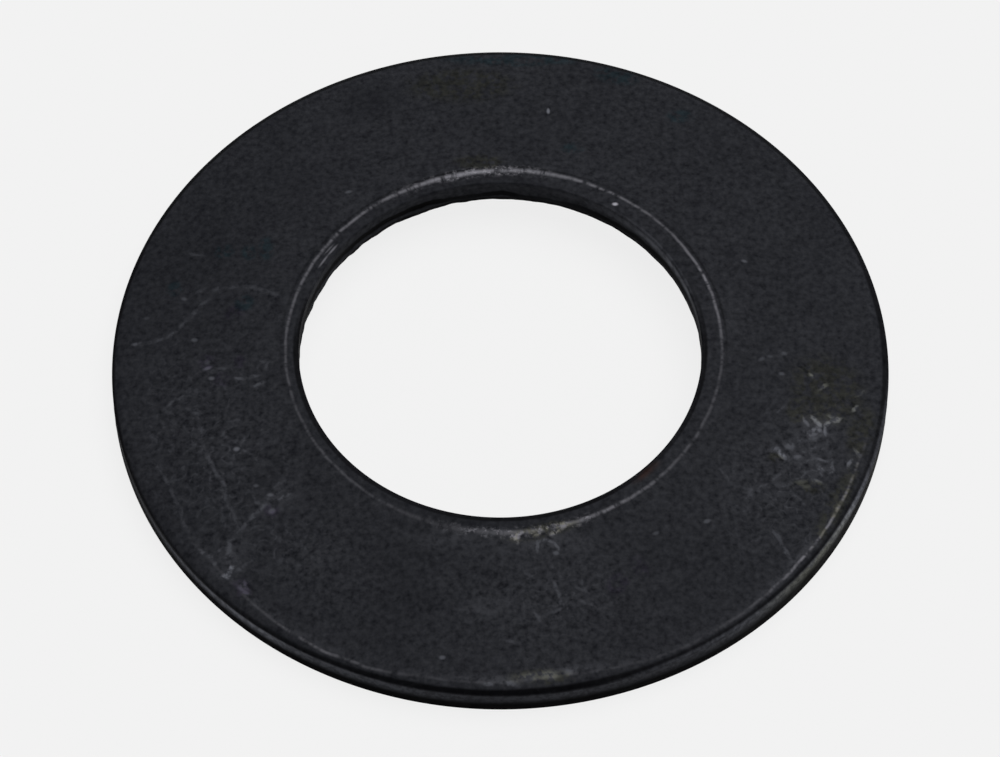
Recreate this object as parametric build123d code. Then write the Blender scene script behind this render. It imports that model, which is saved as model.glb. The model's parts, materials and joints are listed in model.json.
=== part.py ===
from build123d import *
import os
from math import acos, atan2, degrees, hypot, tan

# Conical disc-spring washer: one ring of spring steel, punched and pressed to a shallow cone.
# It lies crown up. The origin is the middle of the circle it rests on, and +Z runs up the bore.
# All sizes are in millimetres.

# Sizes of the ring
outer_diameter = 31.5
bore_diameter = 16.3
thickness = 1.25
free_height = 2.15

# Upper edge of the bore: a level bearing ring, measured from the bore wall, then a rounded corner
upper_ring_width = 0.68
bore_corner_radius = 0.08

# Lower edge of the bore: the break-out that the punch leaves, a short taper below the cut wall
breakout_height = 0.30
breakout_width = 0.05

# Upper edge of the rim: the roll-over that the blanking die leaves, and the tumbled corner below it
rim_roll_width = 0.45
rim_roll_depth = 0.12
rim_corner_radius = 0.08

# Lower edge of the rim: a rounded corner and the narrow level ring that the washer stands on
foot_corner_radius = 0.12
foot_ring_width = 0.15

outer_radius = outer_diameter / 2
bore_radius = bore_diameter / 2
crease_radius = bore_radius + upper_ring_width
foot_outer_radius = outer_radius - foot_corner_radius
foot_inner_radius = foot_outer_radius - foot_ring_width

# The two conical faces are parallel, one thickness apart. The upper one starts at the crease,
# at the free height, and the lower one ends at the inner edge of the foot ring, at height zero.
face_run = foot_inner_radius - crease_radius
cone_angle = acos(thickness / hypot(free_height, face_run)) - atan2(face_run, free_height)
face_slope = tan(cone_angle)


def upper_face_height(radius):
    """Height of the upper conical face at a radius."""
    return free_height - face_slope * (radius - crease_radius)


def lower_face_height(radius):
    """Height of the lower conical face at a radius."""
    return face_slope * (foot_inner_radius - radius)


# Corners of the section, as radius and height
foot_inner = (foot_inner_radius, 0)
foot_outer = (foot_outer_radius, 0)
rim_wall_bottom = (outer_radius, foot_corner_radius)
rim_wall_top = (outer_radius, upper_face_height(outer_radius) - rim_roll_depth)
rim_roll_start = (outer_radius - rim_roll_width, upper_face_height(outer_radius - rim_roll_width))
crease = (crease_radius, free_height)
upper_ring_inner = (bore_radius + bore_corner_radius, free_height)
bore_wall_top = (bore_radius, free_height - bore_corner_radius)
bore_wall_bottom = (bore_radius, lower_face_height(bore_radius) + breakout_height)
breakout_end = (bore_radius + breakout_width, lower_face_height(bore_radius + breakout_width))


def washer_section():
    """The ring's cross-section on the XZ plane, drawn once round from the foot ring."""
    outward = (1, 0)
    inward = (-1, 0)
    down_the_face = (1, -face_slope)
    with BuildSketch(Plane.XZ) as section:
        with BuildLine():
            Line(foot_inner, foot_outer)
            TangentArc(foot_outer, rim_wall_bottom, tangent=outward)
            Line(rim_wall_bottom, rim_wall_top)
            TangentArc(rim_roll_start, rim_wall_top, tangent=down_the_face)
            Line(rim_roll_start, crease)
            Line(crease, upper_ring_inner)
            TangentArc(upper_ring_inner, bore_wall_top, tangent=inward)
            Line(bore_wall_top, bore_wall_bottom)
            Line(bore_wall_bottom, breakout_end)
            Line(breakout_end, foot_inner)
        make_face()
        rim_corner = section.vertices().sort_by_distance(rim_wall_top)[0]
        fillet(rim_corner, rim_corner_radius)
    return section.sketch


def make_washer():
    """The whole washer: its section turned once round the bore's axis."""
    return revolve(washer_section(), axis=Axis.Z)


washer = make_washer()

os.makedirs("parts", exist_ok=True)
export_step(washer, "parts/washer.step")

print("cone angle in degrees:", round(degrees(cone_angle), 3))
print("bore wall height:", round(bore_wall_top[1] - bore_wall_bottom[1], 4))
print("rim wall height:", round(rim_wall_top[1] - rim_wall_bottom[1], 4))
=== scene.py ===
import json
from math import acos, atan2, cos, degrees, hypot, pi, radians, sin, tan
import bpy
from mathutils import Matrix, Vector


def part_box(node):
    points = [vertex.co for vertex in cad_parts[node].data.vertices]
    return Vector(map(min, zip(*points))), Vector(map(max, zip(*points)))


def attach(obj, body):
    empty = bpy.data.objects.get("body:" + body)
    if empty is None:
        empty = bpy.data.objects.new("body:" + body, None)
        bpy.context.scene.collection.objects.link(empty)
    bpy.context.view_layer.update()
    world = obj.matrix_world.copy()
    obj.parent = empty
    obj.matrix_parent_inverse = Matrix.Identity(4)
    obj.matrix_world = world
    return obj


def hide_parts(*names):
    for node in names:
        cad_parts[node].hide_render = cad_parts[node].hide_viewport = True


bl_info = {
    "name": "Conical washer",
    "version": (1, 0, 0),
    "blender": (4, 5, 0),
    "location": "View3D > Sidebar > Washer",
    "description": "Models and finishes a black conical washer inside its packed frame",
    "category": "Object",
}

from types import SimpleNamespace

import bpy
from bpy.props import FloatProperty, FloatVectorProperty, IntProperty, PointerProperty
from mathutils import Vector

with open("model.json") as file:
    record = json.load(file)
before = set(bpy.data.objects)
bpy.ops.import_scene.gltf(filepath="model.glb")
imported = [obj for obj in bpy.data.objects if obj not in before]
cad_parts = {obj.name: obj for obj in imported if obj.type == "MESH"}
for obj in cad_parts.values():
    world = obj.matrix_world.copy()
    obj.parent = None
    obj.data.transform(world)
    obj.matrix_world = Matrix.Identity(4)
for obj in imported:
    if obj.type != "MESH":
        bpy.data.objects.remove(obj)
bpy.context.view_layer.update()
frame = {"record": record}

# Lengths are in metres. The frame gives the ring's own sizes, from its box and its four mounts.
mm = 0.001
mounts = {mount["name"]: mount for mount in frame["record"]["mounts"]}


def wall_ends(name):
    """Lowest and highest point of a mount's straight wall."""
    middle = mounts[name]["pos_m"][2]
    half = mounts[name]["dims"]["length_mm"] * mm / 2
    return middle - half, middle + half


free_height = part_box("washer")[1].z
bore_radius = mounts["bore"]["dims"]["r_mm"] * mm
bore_wall_bottom, bore_wall_top = wall_ends("bore")
rim_radius = mounts["rim"]["dims"]["r_mm"] * mm
rim_wall_bottom, rim_wall_top = wall_ends("rim")

# The rounded corners beside the two walls are quarter circles, and the two bearing rings start there
foot_outer_radius = rim_radius - rim_wall_bottom
foot_inner_radius = 2 * mounts["foot_ring"]["pos_m"][0] - foot_outer_radius
upper_ring_inner_radius = bore_radius + free_height - bore_wall_top
crease_radius = 2 * mounts["upper_ring"]["pos_m"][0] - upper_ring_inner_radius


def linear(hex_colour):
    """An sRGB colour such as #26272b as linear red, green, blue and an alpha of one."""
    channels = [int(hex_colour[place:place + 2], 16) / 255 for place in (1, 3, 5)]
    return [c / 12.92 if c <= 0.04045 else ((c + 0.055) / 1.055) ** 2.4 for c in channels] + [1.0]


class WasherSizes(bpy.types.PropertyGroup):
    """Sizes of the ring that its box and mounts don't give."""
    thickness: FloatProperty(
        name="Thickness", description="Thickness of the strip", default=1.25 * mm, unit="LENGTH")
    rim_roll_width: FloatProperty(
        name="Roll-over width", description="Width of the rounding that the blanking die leaves",
        default=0.45 * mm, unit="LENGTH")
    rim_corner_radius: FloatProperty(
        name="Rim corner", description="Radius of the corner between roll-over and rim wall",
        default=0.08 * mm, unit="LENGTH")
    breakout_width: FloatProperty(
        name="Break-out width", description="Widening of the bore below its cut wall",
        default=0.05 * mm, unit="LENGTH")
    foot_fullness: FloatProperty(
        name="Foot fullness", description="How far tumbling left the foot's corner short of round",
        default=0.7, min=0.0, max=1.0)
    crease_shift: FloatVectorProperty(
        name="Crease shift", description="How far the crease is off centre, along X and Y",
        default=(0.13 * mm, -0.05 * mm), size=2, unit="LENGTH")
    crease_dents: FloatProperty(
        name="Crease dents", description="Depth of the dents that stacking left along the crease",
        default=0.05 * mm, unit="LENGTH")
    face_waves: FloatProperty(
        name="Face waves", description="Height of the soft waves that pressing left on the upper face",
        default=0.03 * mm, unit="LENGTH")
    breakout_waves: FloatProperty(
        name="Break-out waves", description="Unevenness of the edge where the punched metal tore",
        default=0.16 * mm, unit="LENGTH")
    rim_nicks: FloatProperty(
        name="Rim nicks", description="Depth of the nicks along the rim's lower edge",
        default=0.06 * mm, unit="LENGTH")
    turn_steps: IntProperty(
        name="Steps round", description="Number of faces round the ring", default=720, min=90)


class WasherFinish(bpy.types.PropertyGroup):
    """Colours of the coat and of what is on it."""
    dark_coat: FloatVectorProperty(
        name="Dark coat", description="Black phosphate coat where it holds the most oil", subtype="COLOR",
        size=4, default=linear("#131418"))
    coat: FloatVectorProperty(
        name="Light coat", description="Black phosphate coat on the tops of its crystals", subtype="COLOR",
        size=4, default=linear("#303135"))
    thin_coat: FloatVectorProperty(
        name="Thin coat", description="Coat rubbed thin, as on scuffs and on the rim wall",
        subtype="COLOR", size=4, default=linear("#45464b"))
    # Also laid on the rim wall and the bore's upper wall, where it is partly a painted reflection
    scuffed_coat: FloatVectorProperty(
        name="Scuffed coat", description="Crushed coat in a scratch, grey and dull", subtype="COLOR",
        size=4, default=linear("#71737b"))
    bare_steel: FloatVectorProperty(
        name="Rubbed steel", description="Burnished steel where an edge is rubbed through the coat",
        subtype="COLOR", size=4, default=linear("#8e8d94"))
    rust: FloatVectorProperty(
        name="Rust", description="Thin rust on the bearing ring", subtype="COLOR", size=4,
        default=linear("#30201b"))
    old_oil: FloatVectorProperty(
        name="Old oil", description="What dried oil lets through, a tint laid over the coat",
        subtype="COLOR", size=4, default=linear("#fffde2"))
    oil_film: FloatVectorProperty(
        name="Oil film", description="What a thin film of oil lets through where it looks blue-green",
        subtype="COLOR", size=4, default=linear("#d6fbff"))
    violet_film: FloatVectorProperty(
        name="Thinner film", description="What a thinner film lets through where it looks violet",
        subtype="COLOR", size=4, default=linear("#f8eeff"))
    # Painted shade: near-black laid on the rolled, torn and lower edges and in the bore, where they fall in
    # shade
    painted_shade_black: FloatVectorProperty(
        name="Oiled edge", description="Coat on the rolled and torn edges, black with oil", subtype="COLOR",
        size=4, default=linear("#040405"))
    crystal_size: FloatProperty(
        name="Crystal patch", description="Size of the coat's crystal patches, drawn coarse enough to show",
        default=0.22 * mm, unit="LENGTH")


class WasherStage(bpy.types.PropertyGroup):
    """Floor, light and camera."""
    floor_colour: FloatVectorProperty(
        name="Floor", description="Colour of the pale floor", subtype="COLOR", size=4,
        default=linear("#f2f2f2"))
    shadow_fill: FloatProperty(
        name="Shadow fill", description="Share of its full paleness that the seen floor keeps in shadow",
        default=0.93, min=0.0, max=1.0)
    mirrored_fill: FloatProperty(
        name="Mirrored fill", description="The same share, for the floor as the steel mirrors it",
        default=0.25, min=0.0, max=1.0)
    floor_size: FloatProperty(
        name="Floor size", description="Side of the square floor", default=3.0, unit="LENGTH")
    camera_elevation: FloatProperty(
        name="Camera elevation", description="Angle of the view above the floor",
        default=radians(56.1), subtype="ANGLE")
    camera_distance: FloatProperty(
        name="Camera distance", description="From the ring's middle to the camera",
        default=225.97 * mm, unit="LENGTH")
    focal_length: FloatProperty(
        name="Focal length", description="Focal length in millimetres on a 36 mm sensor", default=199.7)
    key_elevation: FloatProperty(
        name="Key elevation", description="Height of the large soft light on the far side",
        default=radians(66), subtype="ANGLE")
    key_azimuth: FloatProperty(
        name="Key azimuth", description="Direction of the soft light, counted from +X to +Y",
        default=radians(52), subtype="ANGLE")
    key_spread: FloatProperty(
        name="Key spread", description="Angle that the soft light fills", default=radians(60),
        subtype="ANGLE")
    key_strength: FloatProperty(
        name="Key strength", description="Light that falls square on a face", default=2.95)


def add_node(tree, kind, inputs=None, **settings):
    """Adds a node. A socket's input is a value or another node's output."""
    made = tree.nodes.new(kind)
    for name, value in settings.items():
        setattr(made, name, value)
    for socket, value in (inputs or {}).items():
        if isinstance(value, bpy.types.NodeSocket):
            tree.links.new(value, made.inputs[socket])
        else:
            made.inputs[socket].default_value = value
    return made


def straight(start, end, pieces):
    """Evenly spaced points from start, which is left out, to end."""
    return [start.lerp(end, step / pieces) for step in range(1, pieces + 1)]


def tangent_arc(start, tangent, end, pieces):
    """Points on the arc that leaves start along tangent and reaches end. Start is left out."""
    along = tangent.normalized()
    across = Vector((-along.y, along.x))
    chord = end - start
    if chord.dot(across) < 0:
        across.negate()
    radius = chord.length_squared / (2 * chord.dot(across))
    sweep = 2 * atan2(chord.dot(across), chord.dot(along))
    angles = [sweep * step / pieces for step in range(1, pieces + 1)]
    return [start + radius * (sin(a) * along + (1 - cos(a)) * across) for a in angles]


def fuller(arc, corner, share):
    """The arc's points moved towards its corner, the middle one by the given share."""
    steps = [(place + 1) / len(arc) for place in range(len(arc))]
    return [point.lerp(corner, 4 * share * step * (1 - step)) for point, step in zip(arc, steps)]


def section_points(sizes):
    """The ring's section as radius and height, once round from the foot ring's inner edge."""
    face_run = foot_inner_radius - crease_radius
    rise = hypot(free_height, face_run)
    face_slope = tan(acos(sizes.thickness / rise) - atan2(face_run, free_height))
    roll_start_radius = rim_radius - sizes.rim_roll_width
    breakout_radius = bore_radius + sizes.breakout_width

    foot_inner = Vector((foot_inner_radius, 0))
    foot_outer = Vector((foot_outer_radius, 0))
    foot_corner = Vector((rim_radius, 0))
    rim_bottom = Vector((rim_radius, rim_wall_bottom))
    rim_top = Vector((rim_radius, rim_wall_top))
    roll_start_height = free_height - face_slope * (roll_start_radius - crease_radius)
    roll_start = Vector((roll_start_radius, roll_start_height))
    crease = Vector((crease_radius, free_height))
    ring_inner = Vector((upper_ring_inner_radius, free_height))
    bore_top = Vector((bore_radius, bore_wall_top))
    bore_bottom = Vector((bore_radius, bore_wall_bottom))
    breakout_end = Vector((breakout_radius, face_slope * (foot_inner_radius - breakout_radius)))
    near_crease_share = 0.12
    near_crease = crease.lerp(roll_start, near_crease_share)

    # Number of faces along each stretch
    on_foot, on_foot_corner, on_rim, on_roll = 2, 6, 9, 9
    on_face, beside_crease, on_upper_ring = 24, 8, 7
    on_bore_corner, on_bore, on_breakout, underneath = 5, 8, 5, 16

    outward = Vector((1, 0))
    inward = Vector((-1, 0))
    down_the_face = Vector((1, -face_slope))
    points = [foot_inner]
    points += straight(foot_inner, foot_outer, on_foot)
    foot_arc = tangent_arc(foot_outer, outward, rim_bottom, on_foot_corner)
    points += fuller(foot_arc, foot_corner, sizes.foot_fullness)
    points += straight(rim_bottom, rim_top, on_rim)
    roll = tangent_arc(roll_start, down_the_face, rim_top, on_roll)
    points += roll[-2::-1] + [roll_start]
    points += straight(roll_start, near_crease, on_face)
    points += straight(near_crease, crease, beside_crease)
    points += straight(crease, ring_inner, on_upper_ring)
    points += tangent_arc(ring_inner, inward, bore_top, on_bore_corner)
    points += straight(bore_top, bore_bottom, on_bore)
    points += straight(bore_bottom, breakout_end, on_breakout)
    points += straight(breakout_end, foot_inner, underneath)
    return points


def draw_chain(points):
    """A new object whose mesh is one chain of edges through the points, drawn on the XZ plane."""
    bpy.ops.object.select_all(action="DESELECT")
    bpy.ops.mesh.primitive_plane_add(size=mm)
    bpy.ops.object.mode_set(mode="EDIT")
    bpy.ops.mesh.merge(type="CENTER")
    bpy.ops.transform.translate(value=(points[0].x, 0, points[0].y))
    for before, after in zip(points, points[1:]):
        step = after - before
        bpy.ops.mesh.extrude_vertices_move(TRANSFORM_OT_translate={"value": (step.x, 0, step.y)})
    bpy.ops.object.mode_set(mode="OBJECT")
    return bpy.context.object


def round_rim_corner(ring, sizes):
    """Rounds the one point of the chain where the roll-over meets the rim wall."""
    corner = Vector((rim_radius, 0, rim_wall_top))
    corner_faces = 4
    bpy.ops.object.mode_set(mode="EDIT")
    bpy.ops.mesh.select_all(action="DESELECT")
    bpy.ops.mesh.select_mode(type="VERT")
    bpy.ops.object.mode_set(mode="OBJECT")
    nearest = min(ring.data.vertices, key=lambda vertex: (vertex.co - corner).length)
    nearest.select = True
    bpy.ops.object.mode_set(mode="EDIT")
    bpy.ops.mesh.bevel(offset=sizes.rim_corner_radius / 2, segments=corner_faces, affect="VERTICES")
    bpy.ops.object.mode_set(mode="OBJECT")


def turn_section(ring, sizes):
    """Turns the chain once round the bore's axis and closes the seam."""
    weld_distance = 0.001 * mm
    bpy.ops.object.modifier_add(type="SCREW")
    lathe = ring.modifiers[-1]
    lathe.axis = "Z"
    lathe.angle = 2 * pi
    lathe.steps = sizes.turn_steps
    lathe.render_steps = sizes.turn_steps
    lathe.use_merge_vertices = True
    lathe.merge_threshold = weld_distance
    bpy.ops.object.modifier_apply(modifier=lathe.name)
    bpy.ops.object.mode_set(mode="EDIT")
    bpy.ops.mesh.select_all(action="SELECT")
    bpy.ops.mesh.remove_doubles(threshold=weld_distance)
    bpy.ops.mesh.normals_make_consistent(inside=False)
    bpy.ops.object.mode_set(mode="OBJECT")


def weigh(ring, name, weight):
    """Names a vertex group whose weights follow from radius, height and direction in degrees."""
    group = ring.vertex_groups.new(name=name)
    for vertex in ring.data.vertices:
        x, y, z = vertex.co / mm
        share = weight(hypot(x, y), z, degrees(atan2(y, x)))
        if share > 0:
            group.add([vertex.index], share, "REPLACE")


def bump(value, middle, half_width):
    """One at the middle value, falling smoothly to nothing at half a width away."""
    off = min(1.0, abs(value - middle) / half_width)
    return (1 - off * off) ** 2


def on_top(radius, height):
    """True above a cone that runs midway between the two faces."""
    depth_at_crease = 0.55
    slope = 0.133
    return height > free_height / mm - depth_at_crease - slope * (radius - crease_radius / mm)


def displace(ring, name, strength, patch=None, level=0.5, direction="NORMAL"):
    """Moves a vertex group by clouds with patches of the given size, or all by the same amount."""
    bpy.ops.object.modifier_add(type="DISPLACE")
    modifier = ring.modifiers[-1]
    modifier.name = name
    modifier.vertex_group = name
    modifier.direction = direction
    modifier.strength = strength
    modifier.mid_level = 0
    if patch:
        clouds = bpy.data.textures.new(name, type="CLOUDS")
        clouds.noise_scale = patch
        clouds.noise_depth = 2
        modifier.texture = clouds
        modifier.texture_coords = "LOCAL"
        modifier.mid_level = level
    bpy.ops.object.modifier_apply(modifier=name)


def wear_in(ring, sizes):
    """The shape that pressing, punching and tumbling leave: all of it is within 0.15 millimetres."""
    # Radii, heights and reaches in millimetres, directions in degrees, sizes of patches in metres
    crease = crease_radius / mm
    bore = bore_radius / mm
    rim = rim_radius / mm
    crease_reach = 0.6
    dent_reach = 0.35
    dent_patch = 0.3 * mm
    face_middle = 12.2
    face_reach = 3.6
    face_patch = 2.5 * mm
    tear_height = bore_wall_bottom / mm - 0.2
    tear_reach = 0.5
    tear_depth = 0.25
    tear_patch = 0.8 * mm
    tear_level = 0.2
    least_tear = 0.4
    most_torn_direction = 140
    torn_spread = 80
    nick_height = 0.3
    nick_reach = 0.25
    nick_patch = 0.4 * mm
    wall_skin = 0.03

    def tear(r, z, angle):
        round_the_bore = least_tear + (1 - least_tear) * bump(angle, most_torn_direction, torn_spread)
        return (r < bore + tear_depth) * bump(z, tear_height, tear_reach) * round_the_bore

    weigh(ring, "crease_shift", lambda r, z, angle: on_top(r, z) * bump(r, crease, crease_reach))
    for axis, shift in zip("XY", sizes.crease_shift):
        displace(ring, "crease_shift", shift, direction=axis)
    weigh(ring, "crease_dents", lambda r, z, angle: on_top(r, z) * bump(r, crease, dent_reach))
    displace(ring, "crease_dents", sizes.crease_dents, patch=dent_patch)
    weigh(ring, "face_waves", lambda r, z, angle: on_top(r, z) * bump(r, face_middle, face_reach))
    displace(ring, "face_waves", sizes.face_waves, patch=face_patch)
    weigh(ring, "breakout_edge", tear)
    displace(ring, "breakout_edge", sizes.breakout_waves, patch=tear_patch, level=tear_level)
    weigh(ring, "rim_lower_edge", lambda r, z, angle: (
        (r > rim - wall_skin) * bump(z, nick_height, nick_reach)))
    displace(ring, "rim_lower_edge", sizes.rim_nicks, patch=nick_patch)


class WASHER_OT_ring(bpy.types.Operator):
    """Models the washer as one turned section and gives it its coat"""
    bl_idname = "washer.ring"
    bl_label = "Washer ring"

    def execute(self, context):
        sizes = context.scene.washer_sizes
        sharpest_shaded_smooth = radians(40)
        ring = draw_chain(section_points(sizes))
        ring.name = "washer_ring"
        round_rim_corner(ring, sizes)
        turn_section(ring, sizes)
        wear_in(ring, sizes)
        bpy.ops.object.shade_smooth_by_angle(angle=sharpest_shaded_smooth)
        ring.data.materials.append(phosphated_steel(context.scene.washer_finish, sizes))
        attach(ring, "root")
        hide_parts("washer")
        return {"FINISHED"}


# Marks on the upper face: points from the bore's axis and half width in millimetres, then strength
left_scratches = (
    ([(-8.8, 2.45), (-9.4, 2.75), (-9.9, 3.0), (-10.5, 3.2), (-11.2, 3.2), (-11.7, 3.1)], 0.16, 0.11),
    ([(-11.8, 2.7), (-12.3, 2.2), (-12.7, 1.7), (-13.1, 1.2), (-13.6, 0.85), (-14.1, 0.7),
      (-14.8, 0.65)], 0.15, 0.11),
    ([(-12.0, 3.2), (-12.4, 3.0)], 0.12, 0.09),
    ([(-13.0, 5.1), (-12.0, 4.85)], 0.11, 0.08),
    ([(-11.4, -0.85), (-11.0, -0.85)], 0.14, 0.1),
    ([(-10.8, -1.35), (-10.3, -1.45), (-9.7, -1.3)], 0.12, 0.19),
    ([(-10.0, -1.85), (-9.5, -1.65)], 0.12, 0.2),
    ([(-9.85, -1.0), (-9.7, -0.7), (-9.4, -0.65), (-9.45, -1.0)], 0.11, 0.11),
    ([(-13.4, -2.5), (-13.1, -2.2), (-12.5, -2.0)], 0.12, 0.14),
    ([(-12.4, -2.8), (-12.0, -3.0)], 0.14, 0.14),
    ([(-11.0, -3.4), (-10.2, -3.4)], 0.1, 0.1),
    ([(-10.1, -4.05), (-10.35, -4.4), (-10.45, -4.6)], 0.11, 0.16),
    ([(-10.35, -4.75), (-10.0, -5.0)], 0.1, 0.14),
    ([(-10.85, -4.9), (-10.6, -5.3)], 0.11, 0.13),
    ([(-10.95, -5.95), (-10.7, -5.82), (-10.6, -5.98)], 0.11, 0.12),
)
lower_left_scratches = (
    ([(-12.1, -3.2), (-12.0, -4.2), (-11.75, -4.75)], 0.12, 0.08),
    ([(-11.75, -4.75), (-11.55, -5.4), (-11.2, -6.0), (-10.95, -6.4)], 0.14, 0.16),
    ([(-10.95, -6.5), (-10.9, -7.1), (-10.6, -7.6), (-10.45, -8.2), (-10.3, -8.5)], 0.13, 0.12),
    ([(-11.1, -7.8), (-10.7, -8.5)], 0.12, 0.1),
    ([(-14.2, -3.5), (-13.7, -4.2)], 0.13, 0.09),
    ([(-13.95, -5.0), (-13.5, -5.7), (-13.2, -6.2), (-12.95, -6.9), (-12.8, -7.1)], 0.13, 0.11),
    ([(-12.75, -7.2), (-12.65, -7.7), (-12.6, -8.0), (-12.4, -8.3)], 0.13, 0.11),
    ([(-12.1, -8.4), (-11.7, -8.3)], 0.13, 0.11),
    ([(-9.0, -6.55), (-8.6, -6.3)], 0.11, 0.17),
    ([(-8.9, -6.9), (-8.3, -6.5)], 0.1, 0.12),
    ([(-8.95, -7.15), (-8.3, -6.9)], 0.1, 0.17),
    ([(-9.85, -6.9), (-9.6, -7.3)], 0.11, 0.1),
    ([(-9.3, -7.3), (-9.6, -7.6), (-10.0, -8.0)], 0.17, 0.19),
    ([(-10.0, -8.0), (-10.3, -8.45), (-10.75, -8.9), (-10.7, -9.3), (-10.85, -9.7)], 0.15, 0.16),
    ([(-10.8, -9.1), (-10.7, -9.4)], 0.17, 0.17),
    ([(-10.0, -8.4), (-9.5, -8.2), (-9.0, -8.4)], 0.12, 0.07),
    ([(-11.9, -9.2), (-11.6, -9.5), (-11.4, -9.5)], 0.14, 0.17),
    ([(-11.4, -9.5), (-11.0, -9.1)], 0.1, 0.14),
    ([(-11.4, -9.7), (-11.1, -10.1)], 0.13, 0.12),
    ([(-10.65, -10.0), (-10.65, -10.2), (-10.8, -10.45), (-10.95, -10.4)], 0.15, 0.55),
    ([(-10.4, -10.2), (-10.1, -9.95), (-9.8, -9.8)], 0.12, 0.11),
    ([(-10.3, -10.9), (-10.1, -11.1), (-10.0, -11.3)], 0.16, 0.2),
    ([(-10.1, -10.7), (-10.0, -11.0)], 0.12, 0.19),
)
near_scratches = (
    ([(1.45, -9.7), (1.5, -9.3), (1.75, -9.15), (2.1, -9.25), (2.3, -9.6)], 0.12, 0.22),
    ([(0.9, -10.6), (1.4, -10.85)], 0.11, 0.11),
    ([(2.0, -10.3), (2.3, -10.6)], 0.11, 0.11),
    ([(2.1, -11.0), (2.25, -11.4), (2.45, -12.0)], 0.13, 0.2),
    ([(2.0, -12.3), (2.4, -12.1)], 0.12, 0.14),
    ([(1.3, -12.2), (1.6, -12.7)], 0.12, 0.16),
    ([(2.9, -11.1), (3.5, -11.5)], 0.11, 0.11),
    ([(3.0, -11.6), (3.7, -12.0)], 0.12, 0.12),
    ([(0.2, -13.5), (0.6, -13.6)], 0.14, 0.1),
    ([(0.75, -15.1), (1.5, -14.98), (2.3, -14.92)], 0.3, 0.34),
    ([(0.1, -15.3), (0.7, -15.3)], 0.16, 0.26),
    ([(-0.6, -15.35), (-0.3, -15.35)], 0.14, 0.22),
    ([(9.5, -6.5), (10.6, -6.7)], 0.12, 0.11),
    ([(10.0, -6.3), (9.8, -7.3)], 0.12, 0.11),
    ([(9.6, -7.3), (10.2, -6.6), (10.7, -6.2), (11.4, -5.6)], 0.12, 0.13),
    ([(10.9, -6.4), (11.7, -6.2), (12.4, -6.0)], 0.13, 0.14),
    ([(10.8, -8.3), (11.2, -9.0), (11.5, -9.7)], 0.13, 0.17),
    ([(8.6, -5.6), (9.3, -6.4)], 0.1, 0.1),
    ([(12.3, -8.4), (12.0, -9.0)], 0.13, 0.13),
)
right_scratches = (
    ([(12.5, -3.0), (12.75, -3.3), (12.82, -3.45)], 0.13, 0.65),
    ([(12.2, -3.15), (12.33, -3.45)], 0.14, 0.36),
    ([(13.0, -3.42), (13.3, -3.22), (13.7, -3.02)], 0.15, 0.62),
    ([(13.2, -2.95), (13.5, -3.1)], 0.12, 0.42),
    ([(12.35, -3.9), (12.7, -3.55), (12.85, -3.75)], 0.14, 0.44),
    ([(13.0, -3.45), (13.05, -3.85)], 0.12, 0.46),
    ([(12.3, -4.05), (12.75, -3.75)], 0.13, 0.28),
    ([(11.9, -4.3), (12.3, -4.15), (12.7, -4.0)], 0.17, 0.2),
    ([(11.45, -4.55), (11.75, -4.4)], 0.24, 0.22),
    ([(11.8, -5.0), (12.0, -4.95)], 0.17, 0.24),
    ([(10.75, -4.8), (11.1, -4.6)], 0.16, 0.32),
    ([(11.12, -4.7), (11.38, -5.08)], 0.15, 0.62),
    ([(12.6, -5.0), (13.1, -5.12)], 0.13, 0.24),
    ([(12.7, -5.3), (12.9, -5.7)], 0.16, 0.36),
    ([(13.3, -5.15), (13.2, -5.7)], 0.17, 0.28),
    ([(12.4, -6.0), (12.8, -6.1)], 0.16, 0.36),
    ([(11.9, -6.3), (12.4, -6.3)], 0.13, 0.16),
    ([(12.85, -1.75), (13.2, -1.45)], 0.13, 0.38),
    ([(12.5, -1.05), (12.56, -1.12)], 0.15, 0.5),
    ([(14.2, -2.6), (14.34, -2.42)], 0.13, 0.5),
    ([(14.3, -2.0), (14.7, -1.6)], 0.1, 0.14),
    ([(11.1, -3.0), (11.45, -2.6)], 0.1, 0.14),
    ([(14.22, -4.45), (14.4, -4.7)], 0.12, 0.34),
    ([(14.05, -4.95), (13.9, -5.25)], 0.12, 0.44),
)
specks = (
    ([(-11.95, -0.83), (-11.72, -0.76)], 0.13, 0.33),
    ([(-11.88, -0.5), (-11.82, -0.5)], 0.22, 0.12),
    ([(-11.68, -1.3), (-11.62, -1.3)], 0.14, 0.3),
    ([(-10.58, -4.72), (-10.52, -4.72)], 0.15, 0.48),
    ([(-9.12, -7.66), (-9.02, -7.6)], 0.2, 0.31),
    ([(-9.18, -6.9), (-9.12, -6.9)], 0.12, 0.28),
    ([(-9.76, -6.45), (-9.72, -6.45)], 0.11, 0.2),
    ([(-14.87, 0.65), (-14.8, 0.65)], 0.12, 0.23),
    ([(-14.42, 1.9), (-14.38, 1.9)], 0.12, 0.11),
    ([(-12.93, 2.75), (-12.87, 2.72)], 0.13, 0.16),
    ([(-12.43, 0.66), (-12.37, 0.64)], 0.15, 0.22),
    ([(-2.3, -14.2), (-2.24, -14.2)], 0.13, 0.33),
    ([(2.18, -9.75), (2.22, -9.75)], 0.14, 0.28),
    ([(2.55, -14.85), (2.75, -14.8)], 0.18, 0.25),
    ([(8.14, -8.15), (8.26, -8.1)], 0.13, 0.27),
    ([(6.1, -8.8), (6.2, -8.75)], 0.12, 0.19),
    ([(11.45, -0.12), (11.52, -0.1)], 0.15, 0.2),
    ([(11.33, -1.1), (11.37, -1.1)], 0.13, 0.22),
    ([(10.5, -0.5), (10.6, -0.42)], 0.13, 0.17),
    ([(10.88, -0.3), (10.92, -0.3)], 0.12, 0.14),
    ([(2.0, 12.13), (2.0, 12.27)], 0.1, 0.7),
    ([(-6.3, 7.8), (-6.2, 7.82)], 0.12, 0.23),
    ([(9.95, 4.42), (10.0, 4.4)], 0.12, 0.31),
)
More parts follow.
